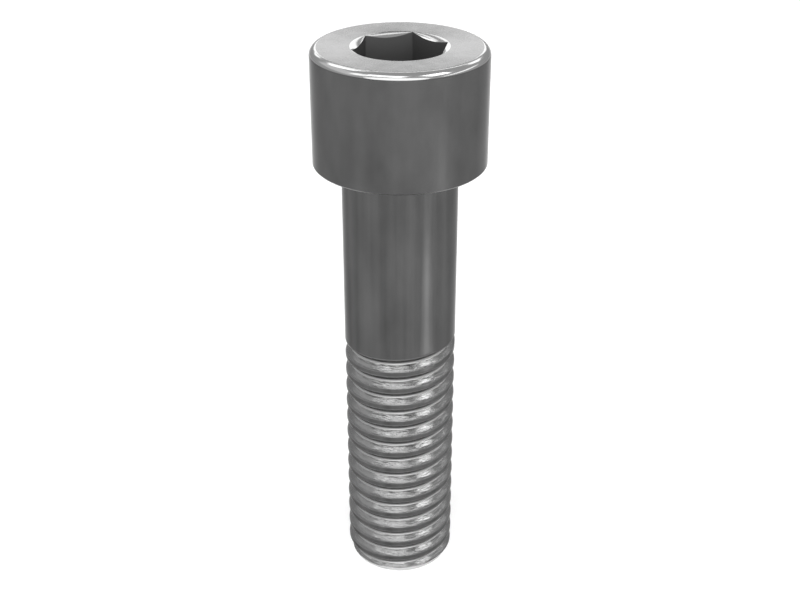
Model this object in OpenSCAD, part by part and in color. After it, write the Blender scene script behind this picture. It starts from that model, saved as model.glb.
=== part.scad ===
// Socket head bolt: one turned piece with a round head, a hexagon socket,
// a plain shank and a cut thread.
// Lengths are in millimetres and angles in degrees.
// The origin lies on the axis, in the plane of the bearing face under the head.
// +Z points to the head, and the thread runs down along -Z.

/* [Head] */
// Diameter of the round head
head_d = 40; // [34:0.5:54]
// Height of the head above its bearing face
head_h = 27; // [21:0.5:40]
// Radius of the rounded rim round the top face
head_round = 1.8; // [0.6:0.1:3]
// Chamfer at the lower edge of the head
head_edge = 0.3; // [0.1:0.05:1]

/* [Hexagon socket] */
// Width across the flats of the socket
socket_flats = 19; // [12:0.5:22]
// Depth of the flats below the top face
socket_depth = 13.5; // [8:0.5:18]
// Angle by which the hexagon is turned about the axis
socket_turn = 15; // [0:1:59]
// Slope of the mouth's chamfer against the top face
mouth_slope = 30; // [20:1:50]
// How far the mouth's chamfer reaches past the corners of the hexagon
mouth_margin = 0.1; // [0.05:0.05:1]
// Depth of the shallow cone that the forming punch leaves in the socket's floor
floor_dish = 1.2; // [0.4:0.1:2.4]

/* [Shank] */
// Diameter of the plain shank
shank_d = 27; // [18:0.5:32]
// Length from the bearing face to the tip
shank_l = 110; // [90:1:160]
// Radius of the fillet between the head and the shank
neck_round = 1; // [0.4:0.1:2.5]

/* [Thread] */
// Length of the threaded end
thread_l = 66; // [30:1:80]
// Distance from one thread to the next along the axis
thread_pitch = 4.65; // [4:0.05:6]
// Depth of the groove below the crests
thread_depth = 1.45; // [1:0.05:1.9]
// Angle between the two flanks of the groove
flank_angle = 82; // [60:1:90]
// Width of the groove's floor, between its flanks
root_w = 0.5; // [0.3:0.02:1.2]
// How much deeper the rounded floor is at its middle than at the flanks
root_dip = 0.12; // [0.02:0.01:0.3]
// How much smaller than the shank the crests are, on the radius
crest_play = 0.04; // [0.02:0.01:0.1]
// Turns over which the groove runs out into the shank
runout_turns = 0.5; // [0.25:0.05:0.9]
// Angle about the axis at which the groove runs out
thread_turn = 127; // [0:1:359]
// Length of the chamfer at the tip, along the axis
tip_chamfer_l = 2.2; // [0.6:0.1:4]
// How much the chamfer takes off the radius at the tip
tip_chamfer_w = 1.15; // [0.3:0.05:2]

/* [Hidden] */

steel = [0.39, 0.39, 0.40];
round_steps = 96;
// Overlap that lets a cut or a join pass clean through a face
lap = 0.5;

head_r = head_d / 2;
shank_r = shank_d / 2;
crest_r = shank_r - crest_play;
thread_top = thread_l - shank_l;
tip_z = -shank_l;

// The hexagon, its mouth and its floor
socket_r = socket_flats / sqrt(3);
mouth_r = socket_r + mouth_margin;
socket_floor = head_h - socket_depth;

// The thread's surface is a grid: columns stand side by side round the axis,
// and each row follows the helix, one pitch higher after a full turn.
columns = 48;
// Half the groove's width at its floor, and how much wider a flank makes it for each
// millimetre of depth
half_root = root_w / 2;
flank_run = tan(flank_angle / 2);
runout = runout_turns * thread_pitch;
// The grid starts inside the plain shank and ends below the tip, where the groove has
// run out again, so that both of its ends are plain discs.
grid_top = thread_top + thread_pitch / 2;
spare_l = 1.5 * thread_pitch;
grid_end = tip_z - spare_l;
first_groove = grid_top + thread_pitch;
grooves = ceil((first_groove - grid_end) / thread_pitch) + 2;
row_count = grooves * len(groove_rows(1));

// Share of the full depth that the groove has where its middle is at height z
function cut_share(z) =
    let (below_top = (thread_top - z) / runout)
    let (above_end = (z - tip_z + spare_l - runout) / runout)
    max(0, min(1, below_top, above_end));

// Half of the groove's section from its upper crest to its lower one, as steps along
// the axis and depths, for the given share of the full depth
function groove_rows(share) =
    let (depth = share * thread_depth)
    let (half_top = half_root + depth * flank_run)
    [
        [half_top, 0],
        [half_root, depth],
        [0, depth + share * root_dip],
        [-half_root, depth],
        [-half_top, 0]
    ];

// Height of a groove's middle at a column. The last term lifts it along the helix.
function groove_z(groove, column) =
    first_groove - thread_pitch * (groove - column / columns);

// One point of the grid
function grid_point(column, row) =
    let (per_groove = len(groove_rows(1)))
    let (middle = groove_z(floor(row / per_groove), column))
    let (step = groove_rows(cut_share(middle))[row % per_groove])
    let (angle = thread_turn + 360 * column / columns + start_shift)
    let (radius = crest_r - step[1])
    [
        radius * cos(angle),
        radius * sin(angle),
        max(grid_end, min(grid_top, middle + step[0]))
    ];

// The groove's middle is at the thread's top where the column's angle is thread_turn.
start_shift = 360 * (thread_top - first_groove) / thread_pitch;

// Number of a point in the list. The column after the last one is the first column
// again, one groove further up.
function point_no(column, row) =
    column < columns
        ? column * row_count + row
        : max(0, row - len(groove_rows(1)));

// Keeps a triangle only if its three corners are apart
function real_triangle(points, corners) =
    norm(points[corners[0]] - points[corners[1]]) > 0.0001
    && norm(points[corners[1]] - points[corners[2]]) > 0.0001
    && norm(points[corners[2]] - points[corners[0]]) > 0.0001;

// Outline of the head, from the axis to its side
module head_outline() {
    square([head_r - head_round, head_h]);
    translate([0, head_edge])
        square([head_r, head_h - head_round - head_edge]);
    polygon([[0, 0], [head_r - head_edge, 0], [head_r, head_edge], [0, head_edge]]);
    translate([head_r - head_round, head_h - head_round])
        circle(r = head_round, $fn = round_steps);
}

// Outline of the plain shank with the fillet that carries it into the head
module shank_outline() {
    translate([0, thread_top])
        square([shank_r, lap - thread_top]);
    difference() {
        translate([0, -neck_round])
            square([shank_r + neck_round, neck_round + lap]);
        translate([shank_r + neck_round, -neck_round])
            circle(r = neck_round, $fn = round_steps);
    }
}

// Head and plain shank, turned about the axis
module turned_blank() {
    rotate_extrude($fn = round_steps)
        union() {
            head_outline();
            shank_outline();
        }
}

// Threaded end, before its tip is faced
module threaded_end() {
    points = [for (column = [0 : columns - 1]) for (row = [0 : row_count - 1])
        grid_point(column, row)];
    skin = [for (column = [0 : columns - 1]) for (row = [0 : row_count - 2])
        let (near = point_no(column, row), near_low = point_no(column, row + 1))
        let (far = point_no(column + 1, row), far_low = point_no(column + 1, row + 1))
        for (corners = [[near, far, near_low], [far, far_low, near_low]])
            if (real_triangle(points, corners)) corners];
    top_disc = [for (column = [columns - 1 : -1 : 0]) point_no(column, 0)];
    end_disc = [for (column = [0 : columns - 1]) point_no(column, row_count - 1)];
    polyhedron(points = points, faces = concat(skin, [top_disc, end_disc]));
}

// What facing and chamfering take off at the tip. The cone of the chamfer goes on past
// the crests, as far again as it is wide.
module tip_waste() {
    outer_r = crest_r + tip_chamfer_w;
    rotate_extrude($fn = round_steps)
        polygon([
            [0, tip_z],
            [crest_r - tip_chamfer_w, tip_z],
            [outer_r, tip_z + 2 * tip_chamfer_l],
            [outer_r, grid_end - lap],
            [0, grid_end - lap]
        ]);
}

// Hexagon hole with a conical mouth and a dished floor
module hex_socket() {
    mouth_inner = socket_flats / 2 - lap;
    mouth_fall = tan(mouth_slope);
    translate([0, 0, socket_floor])
        rotate([0, 0, socket_turn])
            cylinder(r = socket_r, h = socket_depth + lap, $fn = 6);
    translate([0, 0, head_h - (mouth_r - mouth_inner) * mouth_fall])
        cylinder(
            r1 = mouth_inner,
            r2 = mouth_r + lap,
            h = (mouth_r + lap - mouth_inner) * mouth_fall,
            $fn = round_steps
        );
    translate([0, 0, socket_floor])
        rotate_extrude($fn = round_steps)
            polygon([
                [0, -floor_dish],
                [mouth_inner, 0],
                [mouth_inner, lap],
                [0, lap]
            ]);
}

// The whole bolt
module bolt() {
    color(steel)
        difference() {
            union() {
                turned_blank();
                threaded_end();
            }
            hex_socket();
            tip_waste();
        }
}

bolt();
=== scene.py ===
# %% [markdown]
# # A socket head bolt in dark steel
#
# The bolt is one piece of steel: a round head with a hexagon socket, a plain shank and
# a threaded end. This script builds its finished surface around the fixed CAD frame, gives
# it its steel, and sets up a plain studio with a pale floor.
#
# The real bolt is forged and then turned, and the script follows that order: a blank is
# spun about the axis, the socket is pushed into its head, the groove of the thread is
# wound round its end, and the tip is faced and chamfered.

import math

import bmesh
import bpy
from mathutils import Matrix, Vector


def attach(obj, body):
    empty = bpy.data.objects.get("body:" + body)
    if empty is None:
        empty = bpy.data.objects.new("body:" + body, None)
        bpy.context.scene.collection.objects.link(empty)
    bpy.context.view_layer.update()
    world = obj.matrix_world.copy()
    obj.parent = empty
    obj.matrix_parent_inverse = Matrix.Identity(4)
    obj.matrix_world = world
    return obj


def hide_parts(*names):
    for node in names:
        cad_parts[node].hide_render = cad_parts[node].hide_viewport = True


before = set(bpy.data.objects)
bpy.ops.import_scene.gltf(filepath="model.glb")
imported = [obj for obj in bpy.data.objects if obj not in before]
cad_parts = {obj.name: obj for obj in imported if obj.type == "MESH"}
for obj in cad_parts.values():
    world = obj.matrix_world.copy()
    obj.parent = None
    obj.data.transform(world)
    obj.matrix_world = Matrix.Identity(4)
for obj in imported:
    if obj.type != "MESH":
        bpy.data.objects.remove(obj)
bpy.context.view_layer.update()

# %% [markdown]
# ## Sizes
#
# All lengths are written in millimetres, as a drawing of the bolt would give them, and one
# factor turns them to Blender's metres. The origin lies on the axis in the plane of the
# bearing face under the head, and +Z points to the head.
#
# The crests and the root of the thread are rounded here, which the CAD frame leaves
# angular. Rounding a crest takes metal off, so the finished bolt stays inside the frame.

# %% Sizes of the bolt
MM = 0.001

# The head, with the radius of its rim and the chamfer at its lower edge
HEAD_RADIUS = 20.0
HEAD_HEIGHT = 27.0
HEAD_ROUND = 1.8
HEAD_EDGE = 0.3

# The hexagon socket. The cone of its mouth reaches past the corners by the margin, and its
# floor has a shallow dish inside a flat rim.
SOCKET_FLATS = 19.0
SOCKET_DEPTH = 13.5
SOCKET_TURN = math.radians(15)
MOUTH_SLOPE = math.radians(30)
MOUTH_MARGIN = 0.1
FLOOR_DISH = 1.2
FLOOR_RIM = 0.5

# The shank, with the fillet that joins it to the head
SHANK_RADIUS = 13.5
TIP_Z = -110.0
NECK_ROUND = 1.0

# The thread. The groove's floor and its crests are rounded, and the groove runs out over
# this many turns, in the direction of the last angle.
THREAD_TOP = -44.0
PITCH = 4.65
THREAD_DEPTH = 1.45
FLANK_ANGLE = math.radians(82)
ROOT_WIDTH = 0.5
ROOT_ROUND = 0.5
CREST_ROUND = 1.2
RUNOUT_TURNS = 0.5
THREAD_TURN = math.radians(127)

# The chamfer at the tip, along the axis and across it
TIP_CHAMFER_LENGTH = 2.2
TIP_CHAMFER_WIDTH = 1.15

# Steps round the axis. Six divides them, so that each corner of the hexagon gets one.
COLUMNS = 144

print("one column spans", 360 / COLUMNS, "degrees")

# %% [markdown]
# ## The camera
#
# The photo looks down on the bolt from the front. Its angle was found from the outlines of
# the head and the shank and from the circles of the head, which fix the distance, the
# height and the focal length together. The focal length is known in pixels of a picture
# 800 pixels wide, so it is turned to millimetres on Blender's 36 mm sensor.

# %% Camera
PHOTO_WIDTH_PX = 800
FOCAL_PX = 1243.1
CAMERA_FRONT = 265.26
CAMERA_HEIGHT = 107.10
CAMERA_PITCH = math.radians(28.373)

camera_data = bpy.data.cameras.new("camera")
camera_data.sensor_width = 36.0
camera_data.lens = FOCAL_PX * camera_data.sensor_width / PHOTO_WIDTH_PX
camera_data.clip_start = 0.01
camera_data.clip_end = 50.0
camera = bpy.data.objects.new("camera", camera_data)
camera.location = (0.0, -CAMERA_FRONT * MM, CAMERA_HEIGHT * MM)
camera.rotation_euler = (math.pi / 2 - CAMERA_PITCH, 0.0, 0.0)
bpy.context.collection.objects.link(camera)
bpy.context.scene.camera = camera
print("lens in millimetres:", round(camera_data.lens, 2))

# %% [markdown]
# ## The turned blank
#
# On a lathe the head and the shank are round because the bar spins. `bmesh.ops.spin` does
# the same with an outline: a few corners, joined by edges, sweep once round the axis. The
# outline starts at the mouth of the socket and ends on the plain shank, just above the
# thread. The rim and the neck are spun as sharp corners and rounded afterwards with the
# bevel operator, as a tool would round them.

# %% Spin the blank
# The blank ends this many pitches above the top of the thread, and meets its skin there.
JOIN_PITCHES = 0.35
JOIN_Z = THREAD_TOP + JOIN_PITCHES * PITCH
# Lengths that differ by less than this count as the same.
SAME_MM = 0.01

mouth_radius = SOCKET_FLATS / math.sqrt(3) + MOUTH_MARGIN

outline = [
    (mouth_radius, HEAD_HEIGHT),
    (HEAD_RADIUS, HEAD_HEIGHT),
    (HEAD_RADIUS, HEAD_EDGE),
    (HEAD_RADIUS - HEAD_EDGE, 0.0),
    (SHANK_RADIUS, 0.0),
    (SHANK_RADIUS, JOIN_Z),
]


def draw_line(bm, points):
    """Adds vertices at (radius, height) in millimetres in the XZ plane, joined in a line."""
    verts = [bm.verts.new((radius * MM, 0.0, height * MM)) for radius, height in points]
    return verts + [bm.edges.new(pair) for pair in zip(verts, verts[1:])]


def radius_of(vert):
    """Distance of a vertex from the axis, in millimetres."""
    return math.hypot(vert.co.x, vert.co.y) / MM


def height_of(vert):
    """Height of a vertex, in millimetres."""
    return vert.co.z / MM


def near(value, wanted):
    """True if two lengths in millimetres agree."""
    return abs(value - wanted) < SAME_MM


def ring_edges(bm, radius, height):
    """The edges that lie on the circle of this radius at this height."""
    return [
        edge for edge in bm.edges
        if all(near(radius_of(v), radius) and near(height_of(v), height) for v in edge.verts)
    ]


bm = bmesh.new()
bmesh.ops.spin(
    bm, geom=draw_line(bm, outline), cent=(0, 0, 0), axis=(0, 0, 1),
    angle=math.tau, steps=COLUMNS, use_merge=True,
)
print("blank:", len(bm.verts), "vertices")

# %% [markdown]
# ## The hexagon socket
#
# A punch forms the hexagon in the forged head, and a countersink breaks its edge. Where the
# countersink's cone meets a flat wall it leaves a shallow arc, and these six arcs are what
# gives the mouth its look. A boolean could cut them, but its loose corners shade badly.
# Here the ring of edges at the mouth is extruded instead: first down the cone to the
# hexagon, then along the walls to the floor, and in to the dished middle. Each new ring
# keeps one vertex on each column, so the walls stay clean. The last ring shrinks to a
# point, where its vertices are welded into one.

# %% Form the socket
MOUTH_FALL = math.tan(MOUTH_SLOPE)
POLE_WELD_MM = 0.001


def hexagon_radius(angle):
    """Distance from the axis to the hexagon's wall, in millimetres, in this direction."""
    from_corner = (angle - SOCKET_TURN) % (math.pi / 3)
    return SOCKET_FLATS / 2 / math.cos(from_corner - math.pi / 6)


def extrude_ring(bm, edges, place):
    """Extrudes a ring of edges and puts each new vertex where place(angle) says: its radius
    and its height in millimetres."""
    made = bmesh.ops.extrude_edge_only(bm, edges=edges)["geom"]
    for vert in (part for part in made if isinstance(part, bmesh.types.BMVert)):
        angle = math.atan2(vert.co.y, vert.co.x)
        radius, height = place(angle)
        vert.co = Matrix.Rotation(angle, 3, "Z") @ Vector((radius * MM, 0, height * MM))
    return [part for part in made if isinstance(part, bmesh.types.BMEdge)]


def on_the_cone(angle):
    """The arc where the countersink meets the hexagon's wall."""
    radius = hexagon_radius(angle)
    return radius, HEAD_HEIGHT - (mouth_radius - radius) * MOUTH_FALL


socket_floor = HEAD_HEIGHT - SOCKET_DEPTH
mouth = ring_edges(bm, mouth_radius, HEAD_HEIGHT)
arcs = extrude_ring(bm, mouth, on_the_cone)
foot = extrude_ring(bm, arcs, lambda angle: (hexagon_radius(angle), socket_floor))
dish = extrude_ring(bm, foot, lambda angle: (SOCKET_FLATS / 2 - FLOOR_RIM, socket_floor))
extrude_ring(bm, dish, lambda angle: (0.0, socket_floor - FLOOR_DISH))
pole = [vert for vert in bm.verts if near(radius_of(vert), 0.0)]
bmesh.ops.remove_doubles(bm, verts=pole, dist=POLE_WELD_MM * MM)
print("with its socket:", len(bm.verts), "vertices")

# %% [markdown]
# ## The rim and the neck
#
# The rim round the top face is rounded, and so is the inner corner where the head meets
# the shank, which would otherwise crack there. The bevel operator's defaults differ from
# the editor's, so its segments, profile and material are given.

# %% Round the rim and the neck
RIM_STEPS = 12
NECK_STEPS = 5

for radius, height, rounding, steps in (
    (HEAD_RADIUS, HEAD_HEIGHT, HEAD_ROUND, RIM_STEPS),
    (SHANK_RADIUS, 0.0, NECK_ROUND, NECK_STEPS),
):
    bmesh.ops.bevel(
        bm, geom=ring_edges(bm, radius, height), offset=rounding * MM, affect="EDGES",
        segments=steps, profile=0.5, material=-1,
    )
print("with rounded rims:", len(bm.verts), "vertices")

# %% [markdown]
# ## The thread
#
# A thread is one groove that climbs by one pitch a turn. Its section over one pitch is a
# flat crest, two straight flanks and a rounded root. Spinning that section with `dvec`, a
# small step up for each step round, winds it into a helix, and each turn's lower edge
# lands on the upper edge of the turn below, so the turns weld into one skin. The rounded
# crests matter to the eye: each shows a soft line of light where a sharp one shows none.
# Turning towards +Y while climbing gives the right-hand thread that nuts expect.

# %% Draw one pitch of the thread
ARC_STEPS = 5

half_root = ROOT_WIDTH / 2
half_top = half_root + THREAD_DEPTH * math.tan(FLANK_ANGLE / 2)
root_radius = SHANK_RADIUS - THREAD_DEPTH


def rounded(corners, radii, steps):
    """The line through these corners, with each inner corner turned into an arc."""
    points = [Vector(corners[0])]
    for before, corner, after, radius in zip(corners, corners[1:], corners[2:], radii):
        corner = Vector(corner)
        back = (Vector(before) - corner).normalized()
        ahead = (Vector(after) - corner).normalized()
        half = back.angle(ahead) / 2
        centre = corner + (back + ahead).normalized() * radius / math.sin(half)
        first = (corner + back * radius / math.tan(half) - centre).normalized()
        last = (corner + ahead * radius / math.tan(half) - centre).normalized()
        points += [centre + radius * first.slerp(last, i / steps) for i in range(steps + 1)]
    return [tuple(point) for point in points + [Vector(corners[-1])]]


one_pitch = rounded(
    [
        (SHANK_RADIUS, PITCH / 2),
        (SHANK_RADIUS, half_top),
        (root_radius, half_root),
        (root_radius, -half_root),
        (SHANK_RADIUS, -half_top),
        (SHANK_RADIUS, -PITCH / 2),
    ],
    [CREST_ROUND, ROOT_ROUND, ROOT_ROUND, CREST_ROUND],
    ARC_STEPS,
)
print("one pitch has", len(one_pitch), "points")

# %% [markdown]
# The groove runs out into the shank at THREAD_TOP, in the direction THREAD_TURN, so the
# height of its middle follows from the angle. The winding starts on the XZ plane, some
# turns below the tip, and ends above JOIN_Z. Both ends are then trimmed level.

# %% Wind the thread
SPARE_TURNS = 2
TURN_WELD_MM = 0.005


def groove_middle(angle, height):
    """Height of the middle of the groove that is nearest to this height, in this direction."""
    middle = THREAD_TOP + PITCH * (angle - THREAD_TURN) / math.tau
    return middle + PITCH * round((height - middle) / PITCH)


turns = math.ceil((THREAD_TOP - TIP_Z) / PITCH) + 2 * SPARE_TURNS
start = groove_middle(0.0, TIP_Z - SPARE_TURNS * PITCH)

skin = bmesh.new()
section = draw_line(skin, [(radius, height + start) for radius, height in one_pitch])
bmesh.ops.spin(
    skin, geom=section, cent=(0, 0, 0), axis=(0, 0, 1), dvec=(0, 0, PITCH * MM / COLUMNS),
    angle=math.tau, steps=COLUMNS,
)
one_turn = skin.verts[:] + skin.edges[:] + skin.faces[:]
for turn in range(1, turns):
    copy = bmesh.ops.duplicate(skin, geom=one_turn)["geom"]
    verts = [part for part in copy if isinstance(part, bmesh.types.BMVert)]
    bmesh.ops.translate(skin, verts=verts, vec=(0, 0, turn * PITCH * MM))
bmesh.ops.remove_doubles(skin, verts=skin.verts, dist=TURN_WELD_MM * MM)
print("wound", turns, "turns:", len(skin.verts), "vertices")

# %% [markdown]
# Near its top the groove gets shallower, because the tool is drawn back while the bolt
# still turns. Drawing the tool back moves the whole section outwards, and what then lies
# outside the shank is left uncut, which is the smaller of two radii.

# %% Run the groove out
RUNOUT = RUNOUT_TURNS * PITCH

for vert in skin.verts:
    angle = math.atan2(vert.co.y, vert.co.x)
    middle = groove_middle(angle, height_of(vert))
    share = min(1.0, max(0.0, (THREAD_TOP - middle) / RUNOUT))
    radius = min(SHANK_RADIUS, radius_of(vert) + (1 - share) * THREAD_DEPTH)
    vert.co.xy *= radius / radius_of(vert)
print("the groove runs out over", round(RUNOUT, 3), "mm")

# %% [markdown]
# ## The tip
#
# The end is faced flat and chamfered so that the bolt finds its hole. `bisect_plane`
# faces it, and a few more cuts just above give the chamfer rows of vertices to form it
# with. The rows that stand outside the chamfer's cone move in to it.

# %% Face and chamfer the tip
CHAMFER_ROWS = 4


def cut_level(bm, height, keep_above=False, keep_below=False):
    """Cuts the mesh at this height and clears what isn't kept. Cutting alone keeps both."""
    bmesh.ops.bisect_plane(
        bm, geom=bm.verts[:] + bm.edges[:] + bm.faces[:], plane_co=(0, 0, height * MM),
        plane_no=(0, 0, 1), clear_inner=keep_above, clear_outer=keep_below,
    )


cut_level(skin, JOIN_Z, keep_below=True)
cut_level(skin, TIP_Z, keep_above=True)
for row in range(1, CHAMFER_ROWS + 1):
    cut_level(skin, TIP_Z + TIP_CHAMFER_LENGTH * row / CHAMFER_ROWS)

for vert in skin.verts:
    share = (height_of(vert) - TIP_Z) / TIP_CHAMFER_LENGTH
    cone = SHANK_RADIUS - TIP_CHAMFER_WIDTH * (1 - share)
    if radius_of(vert) > cone:
        vert.co.xy *= cone / radius_of(vert)

end = [
    edge for edge in skin.edges
    if edge.is_boundary and all(near(height_of(v), TIP_Z) for v in edge.verts)
]
bmesh.ops.contextual_create(skin, geom=end)
print("threaded end:", len(skin.faces), "faces")

# %% [markdown]
# ## One piece
#
# The two skins are made one mesh and their open rings are bridged. Slivers that the level
# cuts left are taken out. Then every face points outwards, and the mesh is smooth except
# along edges that are truly sharp. Weighted normals keep the flat faces flat right up to
# their rounded edges.

# %% Join the two skins
SLIVER_MM = 0.002
SHARP = math.radians(35)

thread_mesh = bpy.data.meshes.new("threaded_end")
skin.to_mesh(thread_mesh)
skin.free()
bm.from_mesh(thread_mesh)
bpy.data.meshes.remove(thread_mesh)

open_edges = [edge for edge in bm.edges if edge.is_boundary]
bmesh.ops.bridge_loops(bm, edges=open_edges)
bmesh.ops.dissolve_degenerate(bm, edges=bm.edges, dist=SLIVER_MM * MM)
bmesh.ops.recalc_face_normals(bm, faces=bm.faces)
for face in bm.faces:
    face.smooth = True
for edge in bm.edges:
    edge.smooth = edge.is_manifold and edge.calc_face_angle() < SHARP
print("open edges left:", sum(not edge.is_manifold for edge in bm.edges))

bolt_mesh = bpy.data.meshes.new("socket_head_bolt")
bm.to_mesh(bolt_mesh)
bm.free()
bolt = bpy.data.objects.new("socket_head_bolt", bolt_mesh)
bpy.context.collection.objects.link(bolt)
flat_faces = bolt.modifiers.new("flat_faces", "WEIGHTED_NORMAL")
flat_faces.keep_sharp = True
print("bolt:", len(bolt_mesh.vertices), "vertices,", len(bolt_mesh.polygons), "faces")

# %% [markdown]
# ## The steel
#
# The real bolt is a hardened alloy steel with a dark, oiled skin. Where a tool has cut
# through that skin, the metal under it is brighter. Every finish here is a metal: Metallic
# is 1, the IOR keeps its default, and the grey of the steel is the base colour, because a
# metal tints what it mirrors.
#
# A metal shows its surroundings more than itself, so the finishes differ mostly in how
# rough they are and which way their tool marks run. Anisotropy stretches a highlight
# across the marks. Specular Tint sets how bright the metal gets near its outline, where
# it is seen at a flat angle.

# %% Helpers for materials
EDGE_TINT = "d2d2d2"


def linear(hex_colour):
    """Turns an sRGB hex colour such as 6b6b6b into Blender's linear RGBA."""
    channels = [int(hex_colour[i:i + 2], 16) / 255 for i in (0, 2, 4)]
    return [c / 12.92 if c <= 0.04045 else ((c + 0.055) / 1.055) ** 2.4 for c in channels] + [1.0]


def add_node(tree, kind, settings=None, sockets=None):
    """Adds a node. settings are its own values, and sockets its inputs: a value or a link."""
    node = tree.nodes.new(kind)
    for name, value in (settings or {}).items():
        setattr(node, name, value)
    for name, value in (sockets or {}).items():
        if isinstance(value, bpy.types.NodeSocket):
            tree.links.new(value, node.inputs[name])
        else:
            node.inputs[name].default_value = value
    return node


def new_material(name):
    """A material without nodes, and its node tree."""
    material = bpy.data.materials.new(name)
    material.use_nodes = True
    material.node_tree.nodes.clear()
    return material, material.node_tree


print("the edge tint", EDGE_TINT, "is", round(linear(EDGE_TINT)[0], 3), "in linear values")

# %% [markdown]
# Every pattern is drawn in Object coordinates, which stay fixed to the bolt, and its
# scale comes from a real size in millimetres. Blender's noise keeps near its middle, so
# the values between 0.3 and 0.7 are spread over the whole range that is wanted.
#
# The turned faces also need two measures of the place on the bolt: how far from the axis
# it is, and which way runs round the axis. The second is the axis crossed with the place,
# and it serves as the tangent of the turned steel. Anisotropic Rotation counts in whole
# turns, and a quarter of one stretches highlights across the tool marks.

# %% Patterns in millimetres
NOISE_LOW = 0.3
NOISE_HIGH = 0.7
ACROSS_THE_MARKS = 0.25


def patches(tree, size_mm, low, high, stretch=(1.0, 1.0, 1.0)):
    """Soft patches about size_mm wide, and wider where they are stretched, with values
    between low and high."""
    place = add_node(tree, "ShaderNodeVectorMath", {"operation": "DIVIDE"}, {
        0: add_node(tree, "ShaderNodeTexCoord").outputs["Object"],
        1: stretch,
    })
    cloud = add_node(tree, "ShaderNodeTexNoise", sockets={
        "Vector": place.outputs["Vector"],
        "Scale": 1 / (size_mm * MM),
        "Detail": 3.0,
    })
    return add_node(tree, "ShaderNodeMapRange", sockets={
        "Value": cloud.outputs["Fac"],
        "From Min": NOISE_LOW,
        "From Max": NOISE_HIGH,
        "To Min": low,
        "To Max": high,
    }).outputs["Result"]


def from_axis(tree):
    """Distance from the bolt's axis in metres."""
    flat = add_node(tree, "ShaderNodeVectorMath", {"operation": "MULTIPLY"}, {
        0: add_node(tree, "ShaderNodeTexCoord").outputs["Object"],
        1: (1.0, 1.0, 0.0),
    })
    length = add_node(tree, "ShaderNodeVectorMath", {"operation": "LENGTH"}, {
        0: flat.outputs["Vector"],
    })
    return length.outputs["Value"]


def round_the_axis(tree):
    """The direction that runs round the axis, as the marks of a turning tool do."""
    return add_node(tree, "ShaderNodeVectorMath", {"operation": "CROSS_PRODUCT"}, {
        0: (0.0, 0.0, 1.0),
        1: add_node(tree, "ShaderNodeTexCoord").outputs["Object"],
    }).outputs["Vector"]


def tool_marks(tree, apart_mm, deep_mm):
    """The normal of a turned face, with marks round the axis that lie this far apart."""
    marks = add_node(tree, "ShaderNodeTexNoise", {"noise_dimensions": "1D"}, {
        "W": from_axis(tree),
        "Scale": 1 / (apart_mm * MM),
    })
    return add_node(tree, "ShaderNodeBump", sockets={
        "Distance": deep_mm * MM,
        "Height": marks.outputs["Fac"],
    }).outputs["Normal"]


print("patches of 3 mm use a noise scale of", round(1 / (3 * MM)), "per metre")

# %% [markdown]
# ### Dark skin
#
# The side of the head and the shank keep the dark skin. It isn't even: handling and oil
# leave soft blotches, and drawing the bar through its die leaves faint streaks along the
# axis. On the head the streaks are broad and weak, and on the shank they are narrow and
# plain to see. Both are drawn with the same function, since only these numbers differ.
#
# The streaks are the same noise as the blotches, stretched forty times along the axis. The
# marks of the turning tool are far too fine to show at this size, so they are left to the
# anisotropy, which draws the reflection of the floor out into a long, soft shade.

# %% Dark skin of the head and the shank
STREAK_STRETCH = (1, 1, 40)
BLOTCH_MM = 8
BLOTCH_STRETCH = (1, 1, 2)
SHEEN_MM = 6


def dark_skin(name, streak_mm, streak_share, low, high, edge):
    """Dark steel with colours between low and high, and with edge as its tint near the
    outline. Its streaks are streak_mm wide and make up this share of the pattern, and
    blotches make up the rest."""
    material, tree = new_material(name)
    shade = add_node(tree, "ShaderNodeMath", {"operation": "ADD"}, {
        0: patches(tree, streak_mm, 0.0, streak_share, STREAK_STRETCH),
        1: patches(tree, BLOTCH_MM, 0.0, 1 - streak_share, BLOTCH_STRETCH),
    })
    colour = add_node(tree, "ShaderNodeMix", {"data_type": "RGBA"}, {
        "Factor": shade.outputs["Value"],
        "A": linear(low),
        "B": linear(high),
    })
    surface = add_node(tree, "ShaderNodeBsdfPrincipled", sockets={
        "Base Color": colour.outputs["Result"],
        "Metallic": 1.0,
        "Roughness": patches(tree, SHEEN_MM, low=0.17, high=0.23),
        "Anisotropic": 0.5,
        "Anisotropic Rotation": ACROSS_THE_MARKS,
        "Tangent": round_the_axis(tree),
        "Specular Tint": linear(edge),
    })
    add_node(tree, "ShaderNodeOutputMaterial", sockets={"Surface": surface.outputs["BSDF"]})
    return material


# The broad streaks and the low contrast make the head look forged and oiled. The narrow
# ones make the shank look drawn.
head_skin = dark_skin(
    "blackened_forged_steel", streak_mm=7, streak_share=0.4,
    low="484848", high="5e5e5e", edge=EDGE_TINT,
)
shank_skin = dark_skin(
    "blackened_drawn_steel", streak_mm=3, streak_share=0.6,
    low="464646", high="606060", edge="c8c8c8",
)
print("dark skins:", head_skin.name, "and", shank_skin.name)

# %% [markdown]
# ### The faced top
#
# The top of the head is faced on the lathe, which leaves fine rings round the axis. They
# catch the light that comes from behind the bolt. On the left and the right they stretch it
# sideways and are bright all along, and at the front and the back they stretch it up and
# down and are a little darker. That change of light is what tells the eye that the face
# is turned. Real rings are about 0.1 mm apart, which is too fine to show, so they are
# drawn 0.4 mm apart.

# %% Faced steel
RING_MM = 0.4
RING_DEPTH_MM = 0.002
OIL_PATCH_MM = 3

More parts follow.
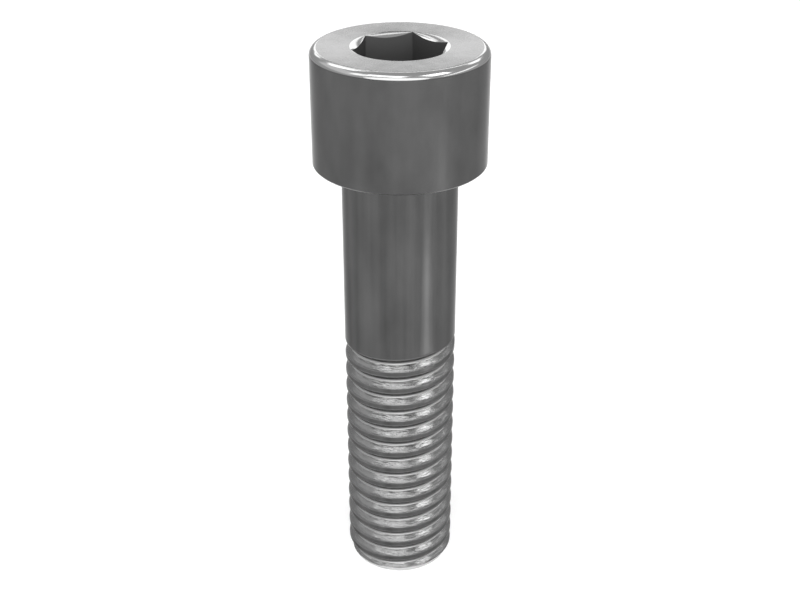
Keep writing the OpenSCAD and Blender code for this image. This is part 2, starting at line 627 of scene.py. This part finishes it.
faced_steel, tree = new_material("faced_steel")
surface = add_node(tree, "ShaderNodeBsdfPrincipled", sockets={
    "Base Color": linear("646464"),
    "Metallic": 1.0,
    "Roughness": patches(tree, OIL_PATCH_MM, low=0.24, high=0.29),
    "Anisotropic": 0.7,
    "Anisotropic Rotation": ACROSS_THE_MARKS,
    "Tangent": round_the_axis(tree),
    "Normal": tool_marks(tree, RING_MM, RING_DEPTH_MM),
    "Specular Tint": linear(EDGE_TINT),
})
add_node(tree, "ShaderNodeOutputMaterial", sockets={"Surface": surface.outputs["BSDF"]})
print("rings on the top face:", round((HEAD_RADIUS - mouth_radius) / RING_MM))

# %% [markdown]
# ### The cut thread
#
# The flanks of the thread are cut through the dark skin, so they are bright next to the
# dark crests. The tool tears the metal a little: on the bolt in the photo the highlights
# are broken into short scratches that follow the thread. Two bumps draw them. Marks round
# the axis are the lines that the tool leaves, since a line of one radius runs along the
# thread, and small stretched patches are the tears between them. Patches of roughness make
# some places sparkle and others dull. The real marks and tears are finer, and are drawn as
# coarse as they need to be to show.

# %% Cut steel
MARK_MM = 0.55
MARK_DEPTH_MM = 0.05
TEAR_MM = 0.3
TEAR_DEPTH_MM = 0.05
TEAR_STRETCH = (10, 10, 1)
GLINT_MM = 0.8
GLINT_STRETCH = (3, 3, 1)

cut_steel, tree = new_material("cut_steel")
tears = add_node(tree, "ShaderNodeBump", sockets={
    "Distance": TEAR_DEPTH_MM * MM,
    "Height": patches(tree, TEAR_MM, 0.0, 1.0, TEAR_STRETCH),
    "Normal": tool_marks(tree, MARK_MM, MARK_DEPTH_MM),
})
surface = add_node(tree, "ShaderNodeBsdfPrincipled", sockets={
    "Base Color": linear("6a6a6a"),
    "Metallic": 1.0,
    "Roughness": patches(tree, GLINT_MM, low=0.08, high=0.24, stretch=GLINT_STRETCH),
    "Normal": tears.outputs["Normal"],
    "Specular Tint": linear(EDGE_TINT),
})
add_node(tree, "ShaderNodeOutputMaterial", sockets={"Surface": surface.outputs["BSDF"]})
print("tool marks from crest to root:", round(THREAD_DEPTH / MARK_MM), "on each flank")

# %% [markdown]
# ### Bright edges and the socket
#
# The rounded rim and the mouth of the socket are turned last, with a fine cut, so they are
# the smoothest steel on the bolt and mirror the lamps as thin white lines. Their lighter
# colour is partly that turned steel and partly a painted highlight: on the rim only the
# faces that look up to the lamps get it, and the lowest part, which mirrors the floor, stays
# in its dark skin. The floor of the groove gets a lighter colour as painted fill light, which
# lifts the shade between two turns to a lighter line, and the lower edge of the head gets the
# same to lift the shade under it. The chamfer at the tip is ground, and its colour is raised
# further as a painted highlight, since it mirrors the bolt's shadow on the floor. The walls
# and the floor of the socket are matt and grey, so they only get darker with depth and mirror
# nothing sharply. Their grey is a little lighter than the dark skin, as painted fill light
# for the shade in the socket.
#
# None of these needs a pattern, because what shows of each is hardly wider than a pattern
# would be.

# %% Bright and matt steel


def plain_steel(name, colour, roughness):
    """Steel of one colour and one roughness."""
    material, tree = new_material(name)
    surface = add_node(tree, "ShaderNodeBsdfPrincipled", sockets={
        "Base Color": linear(colour),
        "Metallic": 1.0,
        "Roughness": roughness,
        "Specular Tint": linear(EDGE_TINT),
    })
    add_node(tree, "ShaderNodeOutputMaterial", sockets={"Surface": surface.outputs["BSDF"]})
    return material


# Fine-turned steel, lighter than the skin partly as a painted highlight where the rim looks up
turned_and_highlight_steel = plain_steel("fine_turned_and_highlight_steel", colour="8e8e8e", roughness=0.14)
# Painted fill light: a lighter colour that lifts the shade in the groove and under the head
painted_fill_steel = plain_steel("painted_fill_steel", colour="8c8c8c", roughness=0.3)
# Ground steel, made brighter still as a painted highlight on the chamfer at the tip
tip_highlight_steel = plain_steel("ground_and_highlight_steel", colour="d4d4d4", roughness=0.3)
# Matt steel, a little lighter than the skin as painted fill light in the socket
socket_fill_steel = plain_steel("punched_and_fill_steel", colour="6a6a6a", roughness=0.5)
for steel in (turned_and_highlight_steel, painted_fill_steel, tip_highlight_steel, socket_fill_steel):
    print("plain steel:", steel.name)

# %% [markdown]
# ### Which face gets which finish
#
# The bolt is one piece, and each face takes its finish from its height, its distance from
# the axis and how far it looks up. Most finishes follow the tool that made the face, and some
# also carry painted light: a painted highlight on the rim where it looks up and on the chamfer
# at the tip, and painted fill light on the floor of the groove, under the head and in the
# socket. A face of the rim or the thread that looks neither up nor down has kept its dark
# skin, such as the crests of the thread.

# %% Give each face its finish
# A face has lost its dark skin where it looks up or down by more than this. On the rim the
# faces that look up by more than this also get a painted highlight.
SKIN_TILT = 0.25
# How far the strip of painted fill light reaches up from the floor of the groove, in millimetres
ROOT_STRIP = 0.3

finishes = (
    head_skin, shank_skin, faced_steel, cut_steel,
    turned_and_highlight_steel, painted_fill_steel, tip_highlight_steel, socket_fill_steel,
)
for finish in finishes:
    bolt.data.materials.append(finish)


def finish_of(height, radius, up):
    """The finish of a face from its height and radius in millimetres, and from how far it
    looks up: 1 is straight up and -1 straight down."""
    if near(height, HEAD_HEIGHT):
        return faced_steel
    if height > 0 and radius < mouth_radius:
        in_upper_half = height > HEAD_HEIGHT - SOCKET_DEPTH / 2
        # The mouth's cone gets the turned steel, and below it the socket gets painted fill light.
        return turned_and_highlight_steel if in_upper_half and up > SKIN_TILT else socket_fill_steel
    # The rim's faces that look up get the lighter steel, partly as a painted highlight.
    if height > HEAD_HEIGHT - HEAD_ROUND and up > SKIN_TILT:
        return turned_and_highlight_steel
    if height > HEAD_EDGE:
        return head_skin
    # The lower edge of the head gets painted fill light.
    if height > 0:
        return painted_fill_steel
    # The chamfer at the tip gets a painted highlight.
    if height < TIP_Z + TIP_CHAMFER_LENGTH and up < -SKIN_TILT:
        return tip_highlight_steel
    # The floor of the groove gets painted fill light.
    if height < THREAD_TOP and radius < root_radius + ROOT_STRIP:
        return painted_fill_steel
    if height < THREAD_TOP and abs(up) > SKIN_TILT:
        return cut_steel
    return shank_skin


for face in bolt.data.polygons:
    finish = finish_of(face.center.z / MM, face.center.xy.length / MM, face.normal.z)
    face.material_index = finishes.index(finish)
given = [face.material_index for face in bolt.data.polygons]
for number, finish in enumerate(finishes):
    print(finish.name, given.count(number), "faces")

# %% [markdown]
# ## The floor
#
# The photo shows the bolt on pure white. The floor is matt paper in the plane of the tip,
# and it keeps the bolt's soft shadow. Its colour and the lamps alone leave it a little grey,
# so it also glows, but only for rays that look at it: the camera's, and those that the metal
# mirrors. Light Path tells those rays apart, so the glow shows in the steel but lights
# nothing. Far from the bolt, where the lamps don't reach, it rises to white, so that there
# is no dark horizon from any side.

# %% Floor
# These lengths are in metres. The glow rises between FAR_START and FAR_END from the axis.
FLOOR_SIZE = 6.0
FAR_START = 0.5
FAR_END = 1.6
FLOOR_GLOW = 0.28

floor_bm = bmesh.new()
bmesh.ops.create_grid(floor_bm, x_segments=1, y_segments=1, size=FLOOR_SIZE / 2)
bmesh.ops.translate(floor_bm, verts=floor_bm.verts, vec=(0, 0, TIP_Z * MM))
floor_mesh = bpy.data.meshes.new("floor")
floor_bm.to_mesh(floor_mesh)
floor_bm.free()
floor = bpy.data.objects.new("floor", floor_mesh)
bpy.context.collection.objects.link(floor)


def seen_directly(tree):
    """1 for the rays of the camera and for mirrored and refracted ones, 0 for the others."""
    path = add_node(tree, "ShaderNodeLightPath")
    seen = path.outputs["Is Camera Ray"]
    for kind in ("Is Glossy Ray", "Is Transmission Ray"):
        seen = add_node(tree, "ShaderNodeMath", {"operation": "MAXIMUM"}, {
            0: seen,
            1: path.outputs[kind],
        }).outputs["Value"]
    return seen


paper, tree = new_material("white_paper")
rise = add_node(tree, "ShaderNodeMapRange", {"interpolation_type": "SMOOTHSTEP"}, {
    "Value": from_axis(tree),
    "From Min": FAR_START,
    "From Max": FAR_END,
    "To Min": FLOOR_GLOW,
    "To Max": 1.0,
})
strength = add_node(tree, "ShaderNodeMath", {"operation": "MULTIPLY"}, {
    0: seen_directly(tree),
    1: rise.outputs["Result"],
})
matt = add_node(tree, "ShaderNodeBsdfDiffuse", sockets={"Color": linear("ebebeb")})
glow = add_node(tree, "ShaderNodeEmission", sockets={"Strength": strength.outputs["Value"]})
both = add_node(tree, "ShaderNodeAddShader", sockets={
    0: matt.outputs["BSDF"],
    1: glow.outputs["Emission"],
})
add_node(tree, "ShaderNodeOutputMaterial", sockets={"Surface": both.outputs["Shader"]})
floor.data.materials.append(paper)
print("floor at", TIP_Z, "mm, with a glow of", FLOOR_GLOW)

# %% [markdown]
# ## The surround
#
# The world is white to the same rays, and that white is what the steel mirrors between the
# lamps. To all other rays it is nearly black, so the soft light comes from the lamps.

# %% World
WORLD_LIGHT = 0.05

world = bpy.data.worlds.new("surround")
world.use_nodes = True
tree = world.node_tree
tree.nodes.clear()
strength = add_node(tree, "ShaderNodeMapRange", sockets={
    "Value": seen_directly(tree),
    "To Min": WORLD_LIGHT,
    "To Max": 1.0,
})
surround = add_node(tree, "ShaderNodeBackground", sockets={
    "Color": linear("ffffff"),
    "Strength": strength.outputs["Result"],
})
add_node(tree, "ShaderNodeOutputWorld", sockets={"Surface": surround.outputs["Background"]})
bpy.context.scene.world = world
print("world light:", WORLD_LIGHT)

# %% [markdown]
# ## The lamps
#
# The rounded rim of the head works like a mirror ball: each point of it shows one direction
# of the studio. Read that way, the photo has a wide lamp low in front, two high ones to the
# left and the right of it with a dark gap between them, one more to the near left, a long
# one on each side, and some smaller ones behind. The one high behind draws the fine line
# along the border of the top face. They are softboxes on a sphere round the bolt, each
# given by the angles at which the bolt sees it.
#
# A lamp's power follows from how bright it looks. Radiance 1 looks as bright as white
# paper, and takes pi watts for each square metre of the lamp. The boxes are bright but
# cover little of the sky, so that together they light the floor at a plain level of about
# 1, at which a colour renders about as it is written.

# %% Softboxes
# The softboxes stand this many metres from the point that they face.
LAMP_DISTANCE = 1.2
LAMP_AIM = Vector((0, 0, -20)) * MM


def area_lamp(name, shape, wide, high, radiance):
    """An area lamp of this size in metres, hidden from the camera and not yet in place."""
    area = wide * high * (math.pi / 4 if shape == "ELLIPSE" else 1)
    data = bpy.data.lights.new(name, "AREA")
    data.shape = shape
    data.size = wide
    data.size_y = high
    data.energy = radiance * math.pi * area
    lamp = bpy.data.objects.new(name, data)
    lamp.visible_camera = False
    bpy.context.collection.objects.link(lamp)
    print(name, "has", round(area, 4), "square metres and", round(data.energy, 4), "watts")
    return lamp


def softbox(name, azimuth, elevation, wide, high, radiance, shape="RECTANGLE"):
    """A softbox that faces the bolt. Its place and its size are angles in degrees as the
    bolt sees them. Azimuth 0 is the camera's side, and positive angles are to its right.
    An ellipse fades at its ends, where a rectangle stops."""
    sides = [2 * LAMP_DISTANCE * math.tan(math.radians(angle / 2)) for angle in (wide, high)]
    lamp = area_lamp(name, shape, *sides, radiance)
    azimuth, elevation = math.radians(azimuth), math.radians(elevation)
    away = Vector((
        math.sin(azimuth) * math.cos(elevation),
        -math.cos(azimuth) * math.cos(elevation),
        math.sin(elevation),
    ))
    lamp.location = LAMP_AIM + away * LAMP_DISTANCE
    lamp.rotation_euler = away.to_track_quat("Z", "Y").to_euler()


softbox("front_box", azimuth=-4, elevation=26, wide=76, high=36, radiance=2.7, shape="ELLIPSE")
softbox("high_left_box", azimuth=-24, elevation=61, wide=34, high=20, radiance=4.0)
softbox("high_right_box", azimuth=62, elevation=53, wide=24, high=20, radiance=6.6)
softbox("left_box", azimuth=-95, elevation=38, wide=60, high=30, radiance=0.7)
softbox("near_left_box", azimuth=-60, elevation=46, wide=20, high=22, radiance=2.2)
softbox("right_box", azimuth=85, elevation=24, wide=60, high=7, radiance=3.2, shape="ELLIPSE")
softbox("back_left_box", azimuth=-138, elevation=51, wide=22, high=22, radiance=3.4)
softbox("low_left_spot", azimuth=-155, elevation=25, wide=10, high=9, radiance=3.4)
softbox("back_right_box", azimuth=143, elevation=36, wide=18, high=13, radiance=3.4)
softbox("back_box", azimuth=180, elevation=20, wide=36, high=20, radiance=3.2, shape="ELLIPSE")
softbox("high_back_box", azimuth=180, elevation=45, wide=36, high=9, radiance=2.6)

# %% [markdown]
# ## The streak on the shank
#
# The sides of the bolt stand upright and the camera looks down, so they mirror nothing but
# the floor. The photo has one bright streak down the shank that goes on faintly over the
# head, and only something bright on the floor makes that. Narrow lamps lie there and shine
# up: a near one, which the shank mirrors, a wider and weaker one over it that softens the
# streak's sides, and one further out for the head.

# %% Strips on the floor
STRIP_AZIMUTH = math.radians(54)
# The strips lie this many millimetres above the floor.
STRIP_LIFT = 1


def floor_strip(name, start, end, wide, radiance):
    """A lamp that lies on the floor and shines up. It reaches from start to end, in
    millimetres from the axis, and is this wide."""
    lamp = area_lamp(name, "RECTANGLE", wide * MM, (end - start) * MM, radiance)
    middle = Vector((0, -(start + end) / 2, TIP_Z + STRIP_LIFT)) * MM
    lamp.location = Matrix.Rotation(STRIP_AZIMUTH, 3, "Z") @ middle
    lamp.rotation_euler = (math.pi, 0, STRIP_AZIMUTH)


floor_strip("near_strip", start=105, end=215, wide=26, radiance=1.6)
floor_strip("soft_strip", start=105, end=215, wide=60, radiance=0.7)
floor_strip("far_strip", start=230, end=380, wide=60, radiance=0.3)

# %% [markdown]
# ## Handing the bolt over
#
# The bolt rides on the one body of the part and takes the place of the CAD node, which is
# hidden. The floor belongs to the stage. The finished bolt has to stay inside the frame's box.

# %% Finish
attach(bolt, "root")
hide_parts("bolt")

bpy.context.scene.view_settings.view_transform = "Standard"
